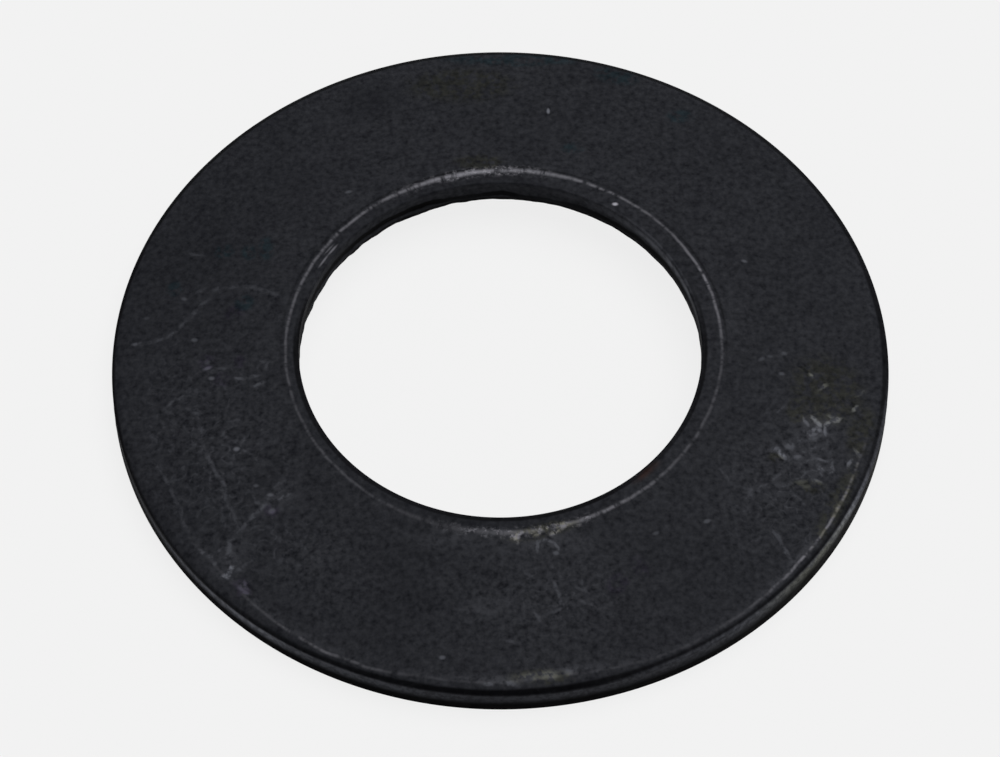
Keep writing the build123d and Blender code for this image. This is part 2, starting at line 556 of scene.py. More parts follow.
# Places on the level ring and at the crease where the steel itself shows
bright_marks = (
    ([(4.7, 7.08), (4.74, 7.08)], 0.12, 1.0),
    ([(-6.68, 5.02), (-7.04, 4.52), (-7.4, 3.92)], 0.07, 0.35),
    ([(-6.86, 5.0), (-7.16, 4.6)], 0.06, 0.2),
)
crease_chips = (
    ([(2.72, -8.44), (2.35, -8.68), (1.95, -8.93)], 0.24, 1.0),
    ([(1.66, -8.7), (1.38, -8.8)], 0.17, 1.0),
    ([(0.86, -8.86), (0.6, -8.98), (0.66, -9.28)], 0.2, 1.0),
    ([(0.5, -8.95), (0.42, -9.12)], 0.14, 1.0),
    ([(3.6, -8.1), (3.2, -8.28)], 0.13, 1.0),
)
# Narrow grooves, darker than the coat
grooves = (
    ([(12.0, -0.62), (12.25, -0.75), (12.45, -1.0)], 0.11, 0.8),
    ([(11.4, -0.1), (11.7, -0.6)], 0.11, 0.6),
    ([(11.1, -4.3), (11.4, -4.65), (11.65, -4.95)], 0.12, 0.6),
    ([(12.55, -3.05), (12.66, -3.25)], 0.09, 0.8),
    ([(12.86, -3.4), (12.92, -3.6)], 0.1, 0.8),
    ([(13.1, -3.95), (13.5, -4.4)], 0.11, 0.5),
    ([(12.3, -4.5), (13.1, -4.1)], 0.11, 0.5),
)
# Patches of the upper face, in millimetres: middle, half length, half width and turn in degrees
rough_patches = (
    ((-11.6, -4.6), 6.4, 3.6, 105),
    ((11.6, -5.6), 5.8, 3.2, 60),
    ((1.5, -11.8), 5.6, 3.4, 0),
    ((-7.5, -10.0), 3.6, 2.6, -45),
)
crazed_patches = (
    ((-11.6, -4.6), 6.4, 3.6, 105),
    ((11.6, -6.0), 5.4, 3.0, 60),
    ((2.4, -11.4), 3.0, 1.8, 0),
    ((-8.6, -9.0), 2.6, 2.0, -45),
)
hazy_patches = (
    ((12.6, -4.4), 2.2, 1.3, 70),
    ((1.4, -9.3), 3.2, 0.8, 0),
    ((-2.0, -9.2), 2.4, 0.6, 0),
    ((-10.6, -9.7), 1.5, 1.0, 50),
    ((-0.6, -12.2), 1.2, 0.6, 0),
    ((-8.9, -7.0), 1.6, 0.9, 30),
    ((1.7, -15.05), 1.5, 0.5, 0),
    ((11.6, -4.45), 0.8, 0.5, 10),
    ((12.9, -3.5), 1.2, 0.8, 10),
    ((12.9, -5.4), 0.9, 0.6, 0),
)
olive_patches = (
    ((13.2, -1.7), 1.9, 2.1, 20),
    ((14.5, -3.6), 1.6, 0.7, 75),
    ((11.9, -2.8), 0.5, 0.8, 0),
    ((11.0, -5.1), 0.4, 0.3, 0),
    ((1.6, -15.05), 1.6, 0.45, 0),
    ((-1.6, 13.7), 2.8, 1.2, 0),
    ((-0.9, 9.3), 1.3, 0.5, 0),
    ((13.4, -7.0), 2.6, 0.5, 65),
    ((12.3, -6.3), 0.9, 0.4, 0),
    ((1.6, -8.8), 1.9, 0.45, 15),
)
teal_patches = (
    ((0.6, 15.2), 3.6, 0.5, 0),
    ((4.8, 14.3), 1.2, 0.6, -15),
    ((-11.3, 5.0), 0.5, 0.5, 0),
    ((-10.3, 4.9), 0.4, 0.5, 0),
    ((-9.6, 5.0), 0.4, 0.8, 0),
    ((-10.4, 2.3), 0.5, 0.5, 0),
    ((-13.3, 3.3), 0.4, 0.5, 0),
    ((3.0, 10.1), 0.6, 0.4, 0),
    ((7.5, 12.1), 0.7, 0.5, 0),
)
violet_patches = (
    ((-11.85, -0.5), 0.4, 0.5, 0),
    ((-11.2, -1.4), 0.5, 0.4, 0),
    ((-10.5, -0.6), 0.3, 0.4, 0),
    ((-9.07, -7.63), 0.4, 0.4, 0),
    ((-10.8, 1.8), 0.5, 0.5, 0),
    ((5.5, -10.2), 0.6, 0.4, -60),
    ((4.65, -11.0), 0.7, 0.5, 50),
    ((-10.2, -11.0), 0.6, 0.5, -50),
)
dark_patches = (
    ((-5.4, 12.8), 2.2, 1.4, 30),
    ((9.2, 4.8), 0.7, 0.25, -40),
    ((10.2, 4.3), 0.6, 0.2, -14),
    ((4.78, 6.98), 0.3, 0.22, -34),
    ((-9.4, -6.4), 1.1, 0.5, 30),
)

# What changes round the ring: degrees from +X towards +Y, then a share or a length in millimetres
# Among these rows are strengths of painted shade on the crease line, the roll-over, the bore wall, its
# corner and torn line, and mostly the left of the face; the wear on the rim wall and in the bore also
# carries a painted reflection.
round_the_ring = {
    "crease_wear": (
        (-180, 0.175), (-160, 0.12), (-140, 0.117), (-120, 0.085), (-100, 0.095), (-80, 0.32), (-60, 0.333),
        (-40, 0.155), (-20, 0.125), (0, 0.15), (20, 0.445), (40, 0.21), (60, 0.3), (78, 0.4), (100, 0.62),
        (120, 0.345), (140, 0.325), (160, 0.245), (180, 0.175)),
    "crease_radius": (
        (-180, 0.02), (-130, 0.02), (-110, 0.05), (-80, 0.06), (-60, 0.0), (-40, 0.0), (0, 0.04), (25, 0.1),
        (45, 0.12), (60, 0.1), (80, 0.08), (100, 0.02), (140, 0.03), (180, 0.02)),
    "crease_width": (
        (-180, 0.1), (-125, 0.1), (-100, 0.2), (-80, 0.17), (-60, 0.13), (0, 0.1), (60, 0.11), (78, 0.18),
        (105, 0.19), (130, 0.12), (180, 0.1)),
    "crease_shade": (
        (-180, 0.2), (-150, 0.0), (-10, 0.0), (10, 0.5), (30, 0.5), (50, 0.15), (70, 0.4), (120, 0.45),
        (160, 0.3), (180, 0.2)),
    "chatter": (
        (-112, 0.0), (-100, 0.3), (-90, 0.45), (-72, 0.6), (-64, 0.0), (74, 0.0), (84, 0.7), (98, 1.0),
        (110, 0.4), (125, 0.0)),
    "rim_wear": (
        (-146, 0.0), (-138, 0.05), (-126, 0.09), (-119, 0.32), (-110, 0.15), (-103, 0.05), (-96, 0.05),
        (-90, 0.08), (-80, 0.08), (-72, 0.04), (-60, 0.08), (-50, 0.1), (-40, 0.38), (-28, 0.4),
        (-20, 0.22), (-14, 0.0)),
    "rim_wear_radius": (
        (-142, 0.02), (-134, 0.1), (-127, 0.27), (-119, 0.42), (-110, 0.46), (-100, 0.28), (-90, 0.28),
        (-80, 0.13), (-70, 0.33), (-62, 0.41), (-50, 0.38), (-40, 0.32), (-30, 0.27), (-20, 0.2)),
    "roll_start": (
        (-180, 0.57), (-160, 0.6), (-140, 0.64), (-120, 0.56), (-100, 0.5), (-80, 0.48), (-50, 0.46),
        (-20, 0.44), (0, 0.42), (20, 0.45), (60, 0.42), (120, 0.41), (160, 0.5), (180, 0.57)),
    "roll_shade": (
        (-180, 0.9), (-160, 0.8), (-140, 0.5), (-120, 0.72), (-100, 0.9), (-80, 0.93), (-60, 0.62),
        (-40, 0.72), (-20, 0.45), (0, 0.75), (60, 0.8), (120, 0.8), (180, 0.9)),
    "wall_top": (
        (-180, 0.8), (-150, 0.84), (-128, 0.92), (-115, 1.0), (-75, 1.02), (-58, 1.2), (-12, 1.2), (0, 1.0),
        (180, 0.8)),
    "wall_wear": (
        (-180, 0.08), (-162, 0.1), (-150, 0.28), (-138, 0.56), (-128, 0.72), (-119, 0.34), (-105, 0.28),
        (-92, 0.17), (-80, 0.22), (-68, 0.19), (-60, 0.2), (-50, 0.33), (-38, 0.62), (-28, 0.86),
        (-20, 0.24), (-8, 0.12), (90, 0.1), (180, 0.08)),
    "wall_foot": (
        (-180, 0.36), (-60, 0.38), (-50, 0.42), (-40, 0.54), (-30, 0.7), (-18, 0.74), (0, 0.5),
        (180, 0.36)),
    "wall_fall": (
        (-180, 0.3), (-130, 0.45), (-100, 0.4), (-80, 0.4), (-60, 0.6), (-48, 0.7), (-38, 0.66),
        (-28, 0.46), (-16, 0.4), (0, 0.3), (180, 0.3)),
    "rim_haze": (
        (-180, 0.0), (-150, 0.0), (-140, 0.2), (-128, 0.3), (-118, 0.25), (-108, 0.1), (-98, 0.2),
        (-90, 0.5), (-80, 0.62), (-74, 0.3), (-66, 0.12), (-52, 0.14), (-40, 0.36), (-30, 0.3), (-18, 0.14),
        (-4, 0.0), (180, 0.0)),
    "bore_wear": (
        (-180, 0.0), (8, 0.1), (20, 0.75), (32, 0.85), (45, 0.45), (60, 0.14), (80, 0.04), (150, 0.04),
        (160, 0.06), (172, 0.0)),
    "bore_shade": ((-180, 0.8), (-10, 0.8), (10, 0.5), (14, 0.0), (158, 0.0), (168, 0.8), (180, 0.8)),
    "bore_corner_shade": (
        (-180, 0.8), (-160, 0.72), (-110, 0.66), (-80, 0.72), (-60, 0.88), (-45, 0.5), (-20, 0.8), (0, 0.8),
        (14, 0.5), (30, 0.0), (164, 0.0), (180, 0.8)),
    "tear_height": (
        (0, 0.5), (30, 0.43), (50, 0.36), (66, 0.35), (74, 0.24), (84, 0.26), (90, 0.49), (96, 0.34),
        (104, 0.34), (112, 0.53), (180, 0.55)),
    "tear_shade": (
        (0, 0.4), (20, 0.55), (34, 0.9), (60, 0.92), (76, 0.55), (88, 0.92), (100, 0.75), (112, 1.0),
        (172, 0.96), (180, 0.7)),
    "face_shade": (
        (-180, 0.18), (-150, 0.15), (-120, 0.06), (-90, 0.0), (-60, 0.09), (-30, 0.0), (0, 0.0), (30, 0.06),
        (60, 0.08), (90, 0.0), (120, 0.08), (150, 0.24), (180, 0.18)),
    "upper_ring_shade": (
        (-180, 0.05), (-150, 0.15), (-120, 0.2), (-98, 0.42), (-70, 0.25), (-40, 0.05), (0, 0.0),
        (60, 0.05), (90, 0.3), (140, 0.2), (180, 0.05)),
}


def strongest(tree, masks):
    """The highest of several masks at each place."""
    result = masks[0]
    for mask in masks[1:]:
        result = add_node(tree, "ShaderNodeMath", {0: result, 1: mask}, operation="MAXIMUM").outputs[0]
    return result


def product(tree, *masks):
    """Masks and plain factors multiplied together."""
    result = masks[0]
    for mask in masks[1:]:
        result = add_node(tree, "ShaderNodeMath", {0: result, 1: mask}, operation="MULTIPLY").outputs[0]
    return result


def sum_of(tree, *terms):
    """Values added together, where a pair of value and factor is multiplied first."""
    result = 0.0
    for term in terms:
        value, factor = term if isinstance(term, tuple) else (term, 1.0)
        result = add_node(
            tree, "ShaderNodeMath", {0: value, 1: factor, 2: result}, operation="MULTIPLY_ADD").outputs[0]
    return result


def spindle(tree, place, middle, half_length, half_width, turn):
    """A mark that is strongest in its middle and fades to nothing at its elliptic edge."""
    # Deep enough to reach through the ring's whole height
    deep = 100
    fitted = add_node(tree, "ShaderNodeMapping", {
        "Vector": place, "Location": (*middle, 0), "Rotation": (0, 0, turn),
        "Scale": (half_length, half_width, deep)}, vector_type="TEXTURE").outputs["Vector"]
    return add_node(
        tree, "ShaderNodeTexGradient", {"Vector": fitted}, gradient_type="SPHERICAL").outputs["Fac"]


def scratches(tree, place, lines):
    """Every line of the list as a chain of narrow marks that overlap at its points."""
    overlap = 0.16
    full_at = 0.8
    masks = []
    for points, half_width, strength in lines:
        line = []
        for start, end in zip(points, points[1:]):
            run = Vector(end) - Vector(start)
            middle = (Vector(start) + Vector(end)) / 2
            half_length = run.length / 2 + overlap
            line.append(spindle(tree, place, middle, half_length, half_width, atan2(run.y, run.x)))
        masks.append(fade(tree, strongest(tree, line), 0.0, full_at, strength))
    return strongest(tree, masks)


def patches(tree, place, areas):
    """Every area of the list as one wide soft mark."""
    return strongest(tree, [
        spindle(tree, place, middle, half_length, half_width, radians(turn))
        for middle, half_length, half_width, turn in areas])


def fade(tree, value, nothing_at, full_at, peak=1.0):
    """A smooth step from nothing to the peak."""
    step = add_node(tree, "ShaderNodeMapRange", {
        "Value": value, "From Min": nothing_at, "From Max": full_at, "To Min": 0.0, "To Max": peak},
        interpolation_type="SMOOTHSTEP")
    return step.outputs["Result"]


def band(tree, value, half_width):
    """A mask that is full where the value is nothing and fades out on both sides."""
    away = add_node(tree, "ShaderNodeMath", {0: value}, operation="ABSOLUTE").outputs[0]
    return fade(tree, away, half_width, 0.0)


def ragged(tree, mask, noise):
    """A mask that noise thins to a third in places."""
    thinnest = 0.32
    regained = 0.8
    gaps = (0.40, 0.56)
    return product(tree, mask, sum_of(tree, thinnest, (fade(tree, noise, *gaps), regained)))


def by_direction(tree, direction, stops):
    """A value that follows the direction, in radians, through the stops, in degrees."""
    turn = add_node(tree, "ShaderNodeMapRange", {
        "Value": direction, "From Min": -pi, "From Max": pi, "To Min": 0.0, "To Max": 1.0})
    ramp = add_node(tree, "ShaderNodeValToRGB", {"Fac": turn.outputs["Result"]})
    elements = ramp.color_ramp.elements
    while len(elements) < len(stops):
        elements.new(0.5)
    for element, (angle, value) in zip(elements, stops):
        element.position = (angle + 180) / 360
    for element, (angle, value) in zip(elements, stops):
        element.color = (value, value, value, 1)
    return ramp.outputs["Color"]


def grain(tree, place, size, detail=3.0, roughness=0.6):
    """Noise whose patches are about as wide as the size, in the unit of the place."""
    noise = add_node(tree, "ShaderNodeTexNoise", {
        "Vector": place, "Scale": 1 / size, "Detail": detail, "Roughness": roughness})
    return noise.outputs["Fac"]


def mixed(tree, share, under, over, blend="MIX"):
    """One colour laid over another by a share from nothing to one, or multiplied into it."""
    mix = add_node(tree, "ShaderNodeMix", {"Factor": share}, data_type="RGBA", blend_type=blend)
    colour_inputs = [socket for socket in mix.inputs if socket.type == "RGBA"]
    for socket, colour in zip(colour_inputs, (under, over)):
        if isinstance(colour, bpy.types.NodeSocket):
            tree.links.new(colour, socket)
        else:
            socket.default_value = list(colour)
    return [socket for socket in mix.outputs if socket.type == "RGBA"][0]


def lay_out(tree, finish, sizes):
    """Where a point of the ring is, in millimetres and radians, and the patterns of its coat."""
    ring = SimpleNamespace()
    coordinates = add_node(tree, "ShaderNodeTexCoord")
    ring.place = add_node(tree, "ShaderNodeVectorMath", {
        0: coordinates.outputs["Object"], "Scale": 1 / mm}, operation="SCALE").outputs["Vector"]
    parts = add_node(tree, "ShaderNodeSeparateXYZ", {"Vector": ring.place})
    across, along, ring.height = parts.outputs["X"], parts.outputs["Y"], parts.outputs["Z"]
    flat = add_node(tree, "ShaderNodeCombineXYZ", {"X": across, "Y": along}).outputs["Vector"]
    ring.radius = add_node(tree, "ShaderNodeVectorMath", {0: flat}, operation="LENGTH").outputs["Value"]
    ring.direction = add_node(
        tree, "ShaderNodeMath", {0: along, 1: across}, operation="ARCTAN2").outputs[0]
    crease_middle = Vector((*sizes.crease_shift, 0)) / mm
    ring.crease_distance = add_node(tree, "ShaderNodeVectorMath", {
        0: flat, 1: crease_middle}, operation="DISTANCE").outputs["Value"]
    normal = add_node(tree, "ShaderNodeSeparateXYZ", {"Vector": coordinates.outputs["Normal"]})
    steep, flat_enough = 0.3, 0.7
    ring.facing_up = fade(tree, normal.outputs["Z"], steep, flat_enough)
    ring.turned = {
        name: by_direction(tree, ring.direction, stops) for name, stops in round_the_ring.items()}

    # The ring unrolled to a strip, so that a pattern can run along its edges
    arc = product(tree, ring.direction, crease_radius / mm)
    unrolled = add_node(tree, "ShaderNodeCombineXYZ", {
        "X": arc, "Y": ring.radius, "Z": ring.height}).outputs["Vector"]
    upright = 0.3
    squeezed = add_node(tree, "ShaderNodeMapping", {
        "Vector": unrolled, "Scale": (1, upright, upright)}).outputs["Vector"]

    # Patch sizes in millimetres. The real crystals are finer, and are drawn coarse enough to show.
    crystal = finish.crystal_size / mm
    mottle_patch = crystal * 4
    cloud_patch = 5.0
    streak_patch = 0.34
    blotch_patch = 0.24
    bead_length = 0.26
    wobble_length = 0.7
    ring.crystals = grain(tree, ring.place, crystal, detail=2.0)
    ring.mottle = grain(tree, ring.place, mottle_patch)
    ring.clouds = grain(tree, ring.place, cloud_patch, roughness=0.5)
    ring.streaks = grain(tree, ring.place, streak_patch, detail=2.0, roughness=0.65)
    ring.blotches = grain(tree, ring.place, blotch_patch, roughness=0.75)
    ring.beads = grain(tree, squeezed, bead_length, detail=2.0)
    ring.wobble = grain(tree, unrolled, wobble_length, detail=2.0)

    # The same places pushed about a little, so that no mark runs straight
    push = 0.26
    bends_per_mm = 3.0
    jitter = add_node(tree, "ShaderNodeTexNoise", {
        "Vector": ring.place, "Scale": bends_per_mm, "Detail": 3.0, "Roughness": 0.6})
    shove = add_node(tree, "ShaderNodeVectorMath", {
        0: jitter.outputs["Color"], 1: (push, push, 0.0), 2: ring.place}, operation="MULTIPLY_ADD")
    ring.bent = add_node(tree, "ShaderNodeVectorMath", {
        0: shove.outputs["Vector"], 1: (push / 2, push / 2, 0.0)}, operation="SUBTRACT").outputs["Vector"]

    # Distances from the two rubbed lines, which wander a little
    crease_wander = 0.10
    outside_crease = 0.01
    rim_line_wander = 0.16
    rim_line_radius = 15.08
    ring.from_crease = sum_of(
        tree, ring.crease_distance, (ring.wobble, crease_wander), (ring.turned["crease_radius"], -1.0),
        -(crease_radius / mm + outside_crease))
    ring.from_rim_line = sum_of(
        tree, ring.radius, (ring.turned["rim_wear_radius"], -1.0), (ring.wobble, rim_line_wander),
        -rim_line_radius)
    return ring


def rubbed_edges(tree, ring):
    """The crease, the start of the roll-over and the chips, where the steel itself shows."""
    chatter_reach = 0.36
    rim_line_reach = 0.10
    chip_share = 0.50
    bright_share = 0.9
    crease_gaps = (0.26, 0.57)
    chatter_gaps = (0.46, 0.70)
    rim_gaps = (0.35, 0.60)
    chip_gaps = (0.38, 0.56)
    crease_wear = product(
        tree, band(tree, ring.from_crease, ring.turned["crease_width"]), ring.turned["crease_wear"],
        fade(tree, ring.beads, *crease_gaps))
    chatter = product(
        tree, band(tree, ring.from_crease, chatter_reach), ring.turned["chatter"],
        fade(tree, ring.blotches, *chatter_gaps))
    rim_wear = product(
        tree, band(tree, ring.from_rim_line, rim_line_reach), ring.turned["rim_wear"],
        fade(tree, ring.beads, *rim_gaps))
    chips = product(
        tree, scratches(tree, ring.bent, crease_chips), fade(tree, ring.blotches, *chip_gaps), chip_share)
    bright = product(tree, scratches(tree, ring.place, bright_marks), bright_share)
    return strongest(tree, [crease_wear, chatter, rim_wear, chips, bright])


def scuffs(tree, ring):
    """Soft scuffs that rub the coat thin, on the face and beside the rubbed line at the rim."""
    rim_haze_reach = 0.34
    rim_haze_inside = 0.12
    rim_gaps = (0.36, 0.60)
    face_gaps = (0.34, 0.64)
    face_share = 0.42
    rim_haze = product(
        tree, band(tree, sum_of(tree, ring.from_rim_line, rim_haze_inside), rim_haze_reach),
        ring.turned["rim_haze"], fade(tree, ring.streaks, *rim_gaps))
    face_haze = product(
        tree, patches(tree, ring.place, hazy_patches), fade(tree, ring.streaks, *face_gaps), face_share)
    return strongest(tree, [face_haze, rim_haze])


def scratched_face(tree, ring):
    """Scratches, specks and the fine crazing of the rough areas, where the coat is crushed to grey."""
    ridge_scale = 1.9
    ridge_detail = 1.5
    crazing_everywhere = 0.12
    crazing_in_patches = 1.3
    crazing_peak = 0.11
    crazing_gaps = (0.38, 0.56)
    ridge_foot, ridge_top = 0.95, 1.65
    lines = ragged(tree, scratches(
        tree, ring.bent, left_scratches + lower_left_scratches + near_scratches + right_scratches),
        ring.streaks)
    dots = scratches(tree, ring.place, specks)
    ridges = add_node(tree, "ShaderNodeTexNoise", {
        "Vector": ring.bent, "Scale": ridge_scale, "Detail": ridge_detail, "Roughness": 0.6,
        "Lacunarity": 2.0, "Offset": 1.0}, noise_type="RIDGED_MULTIFRACTAL", normalize=True).outputs["Fac"]
    crazed_share = sum_of(
        tree, crazing_everywhere, (patches(tree, ring.place, crazed_patches), crazing_in_patches))
    crazed = product(
        tree, fade(tree, ridges, ridge_foot, ridge_top), fade(tree, ring.streaks, *crazing_gaps),
        crazed_share, crazing_peak)
    return product(tree, strongest(tree, [lines, dots, crazed]), ring.facing_up)


def rubbed_walls_and_painted_reflection(tree, ring, on_wall, in_bore, above_foot):
    """The lower band of the rim wall and the far right of the bore, lightened to grey: partly rubbed coat,
    partly a painted reflection of the pale floor.
    """
    least_light = 0.65
    crystal_light = 0.5
    crystal_gaps = (0.38, 0.62)
    top_edge = (-0.10, 0.06)
    bore_light_height = 1.90
    bore_light_reach = 0.34
    bore_gaps = (0.25, 0.6)
    below_wall_top = fade(
        tree, sum_of(tree, (ring.height, -1.0), ring.turned["wall_top"]), *top_edge)
    # Painted reflection of the floor on the rim wall's lower band, mixed with real rubbing
    wall_wear_and_painted_reflection = product(
        tree, on_wall, below_wall_top,
        sum_of(tree, least_light, (fade(tree, ring.crystals, *crystal_gaps), crystal_light)),
        fade(tree, above_foot, 0.0, ring.turned["wall_fall"]), ring.turned["wall_wear"])
    # Painted reflection and rubbing on the bore's upper wall at the far right
    bore_wear_and_painted_reflection = product(
        tree, in_bore, band(tree, sum_of(tree, ring.height, -bore_light_height), bore_light_reach),
        fade(tree, ring.mottle, *bore_gaps), ring.turned["bore_wear"])
    return strongest(tree, [wall_wear_and_painted_reflection, bore_wear_and_painted_reflection])


def painted_edge_shades(tree, ring, on_wall, in_bore, above_foot):
    """Painted shade: the rolled, torn and lower edges, the bore wall and a line beside the crease, painted
    black where they fall in shade.
    """
    roll_line_radius = 15.05
    roll_wander = 0.10
    roll_edge_width = 0.12
    foot_shade_height = 0.24
    corner_outside, corner_inside = 8.42, 8.33
    corner_low, corner_high = 1.95, 2.05
    breakout_outside, breakout_inside = 8.4, 8.3
    breakout_high, breakout_low = 1.24, 1.14
    crease_shade_reach = 0.10
    crease_shade_outside = 0.20
    tear_middle = 1.10
    tear_wander = 0.20
    tear_reach = 0.24
    tear_full_at = 0.65
    breakout_share = 0.85
    # Painted shade along the roll-over at the rim
    roll_edge = sum_of(
        tree, ring.radius, (ring.turned["roll_start"], -1.0), (ring.mottle, roll_wander), -roll_line_radius)
    roll_shade = product(tree, fade(tree, roll_edge, 0.0, roll_edge_width), ring.turned["roll_shade"])
    # Painted shadow where the foot meets the floor
    painted_foot_shadow = product(tree, on_wall, fade(tree, above_foot, foot_shade_height, 0.0))
    # Painted shade at the bore's upper corner
    bore_corner_shade = product(
        tree, fade(tree, ring.radius, corner_outside, corner_inside),
        fade(tree, ring.height, corner_low, corner_high), ring.turned["bore_corner_shade"])
    # Painted shade along the torn line of the bore wall
    from_tear = sum_of(
        tree, ring.height, (ring.turned["tear_height"], -1.0), (ring.wobble, tear_wander), -tear_middle)
    tear_shade = product(
        tree, in_bore, fade(tree, band(tree, from_tear, tear_reach), 0.0, tear_full_at),
        ring.turned["tear_shade"])
    # Painted shade over the bore wall
    bore_shade = product(tree, in_bore, ring.turned["bore_shade"])
    # Painted shade on the break-out edge
    painted_breakout_shade = product(
        tree, fade(tree, ring.radius, breakout_outside, breakout_inside),
        fade(tree, ring.height, breakout_high, breakout_low), breakout_share)
    # Painted shade in a thin line just outside the crease
    crease_shade = product(
        tree, band(tree, sum_of(tree, ring.from_crease, -crease_shade_outside), crease_shade_reach),
        ring.facing_up, ring.turned["crease_shade"])
    return strongest(tree, [
        roll_shade, painted_foot_shadow, bore_corner_shade, bore_shade, tear_shade, painted_breakout_shade, crease_shade])


def bare_coat(tree, ring, finish):
    """The coat before any wear: dark and light crystals, cloudier and darker in places, a painted shade
    mostly on the left of the face, and its rust.
    """
    mottle_share = 0.35
    mean = 0.675
    contrast = 1.55
    rough_contrast = 0.9
    middle_tone = 0.5
    rough_tone = 0.12
    cloud_share = 0.18
    cloud_edge = (0.55, 0.3)
    ring_outside, ring_inside = 8.8, 8.6
    face_inside, face_outside = 9.5, 12.0
    dark_patch_share = 0.5
    rust_direction = radians(-46)
    rust_spread = radians(7)
    rust_radius = 8.38
    rust_reach = 0.28
    rust_gaps = (0.25, 0.6)
    rough_share = patches(tree, ring.place, rough_patches)
    off_mean = sum_of(tree, ring.crystals, (ring.mottle, mottle_share), -mean)
    tone = add_node(tree, "ShaderNodeMath", {
        0: off_mean, 1: sum_of(tree, contrast, (rough_share, rough_contrast)),
        2: sum_of(tree, middle_tone, (rough_share, rough_tone))},
        operation="MULTIPLY_ADD", use_clamp=True).outputs[0]
    coat = mixed(tree, tone, finish.dark_coat, finish.coat)
    coat = mixed(tree, fade(tree, ring.clouds, *cloud_edge, cloud_share), coat, finish.dark_coat)
    # The level ring darker in places, the dark patches, and painted shade mostly on the left of the face
    darker = strongest(tree, [
        product(tree, fade(tree, ring.radius, ring_outside, ring_inside), ring.turned["upper_ring_shade"]),
        product(tree, fade(tree, ring.radius, face_inside, face_outside), ring.turned["face_shade"]),
        product(tree, patches(tree, ring.place, dark_patches), dark_patch_share)])
    coat = mixed(tree, product(tree, darker, ring.facing_up), coat, finish.dark_coat)
    rust_share = product(
        tree, band(tree, sum_of(tree, ring.direction, -rust_direction), rust_spread),
        band(tree, sum_of(tree, ring.radius, -rust_radius), rust_reach),
        fade(tree, ring.mottle, *rust_gaps), ring.facing_up)
    return mixed(tree, rust_share, coat, finish.rust)


def oil_tints(tree, ring, finish, on_wall, colour):
    """Dried oil and thin films of it, laid over everything as faint tints."""
    oily_wall_direction = radians(-38)
    oily_wall_spread = radians(16)
    full_at = 0.5
    film_gaps = (0.36, 0.58)
    wall_gaps = (0.25, 0.5)
    for areas, film in ((olive_patches, finish.old_oil), (teal_patches, finish.oil_film),
                        (violet_patches, finish.violet_film)):
        share = product(
            tree, fade(tree, patches(tree, ring.bent, areas), 0.0, full_at),
            fade(tree, ring.streaks, *film_gaps), ring.facing_up)
        colour = mixed(tree, share, colour, film, blend="MULTIPLY")
    oily_wall = product(
        tree, on_wall, band(tree, sum_of(tree, ring.direction, -oily_wall_direction), oily_wall_spread),
        fade(tree, ring.mottle, *wall_gaps))
    return mixed(tree, oily_wall, colour, finish.old_oil, blend="MULTIPLY")


def phosphated_steel(finish, sizes):
    """Spring steel, blanked, tumbled, phosphated black and oiled.

    The coat is matt and fine-grained, with a faint sheen from the oil. Edges that were rubbed show the
    steel, and scuffs show the coat crushed to grey. Its colour also carries painted shade on the rolled,
    torn and lower edges and in the bore, and a painted reflection on the rim wall and the bore's upper
    wall.
    """
    material = bpy.data.materials.new("phosphated_steel")
    material.use_nodes = True
    tree = material.node_tree
    tree.nodes.clear()

    wall_from, wall_full = 15.60, 15.70
    bore_from, bore_full = 8.30, 8.22
    ring = lay_out(tree, finish, sizes)
    on_wall = fade(tree, ring.radius, wall_from, wall_full)
    in_bore = fade(tree, ring.radius, bore_from, bore_full)
    above_foot = sum_of(tree, ring.height, (ring.turned["wall_foot"], -1.0))

    # Colour, from the coat outwards
    coat = bare_coat(tree, ring, finish)
    coat = mixed(tree, product(tree, scuffs(tree, ring), ring.facing_up), coat, finish.thin_coat)
    groove = scratches(tree, ring.bent, grooves)
    coat = mixed(tree, product(tree, groove, ring.facing_up), coat, finish.dark_coat)
    # Painted shade on the edges, in the bore and beside the crease
    coat = mixed(tree, painted_edge_shades(tree, ring, on_wall, in_bore, above_foot), coat, finish.painted_shade_black)
    # Rubbed coat with a painted reflection, on the rim wall and the bore's upper wall
    coat = mixed(tree, rubbed_walls_and_painted_reflection(tree, ring, on_wall, in_bore, above_foot), coat, finish.scuffed_coat)
    coat = mixed(tree, scratched_face(tree, ring), coat, finish.scuffed_coat)
    worn = rubbed_edges(tree, ring)
    colour = mixed(tree, worn, coat, finish.bare_steel)
    colour = oil_tints(tree, ring, finish, on_wall, colour)

    # Sheen and relief. Where the steel shows it is metal, though dulled by what is left of the coat.
    metal_share = 0.6
    sheen = 0.015
    mottle_relief = 1.5
    relief_height = 0.003 * mm
    oiliest, driest = 0.3, 0.7
    smoothest, roughest = 0.50, 0.66
    roughness = add_node(tree, "ShaderNodeMapRange", {
        "Value": ring.mottle, "From Min": oiliest, "From Max": driest,
        "To Min": smoothest, "To Max": roughest})
    heights = sum_of(tree, ring.crystals, (ring.mottle, mottle_relief))
    relief = add_node(tree, "ShaderNodeBump", {
        "Height": heights, "Strength": 1.0, "Distance": relief_height})
    shader = add_node(tree, "ShaderNodeBsdfPrincipled", {
        "Base Color": colour, "Metallic": product(tree, worn, metal_share),
        "Roughness": roughness.outputs["Result"], "Specular IOR Level": sheen,
        "Normal": relief.outputs["Normal"]})
    add_node(tree, "ShaderNodeOutputMaterial", {"Surface": shader.outputs["BSDF"]})
    return material


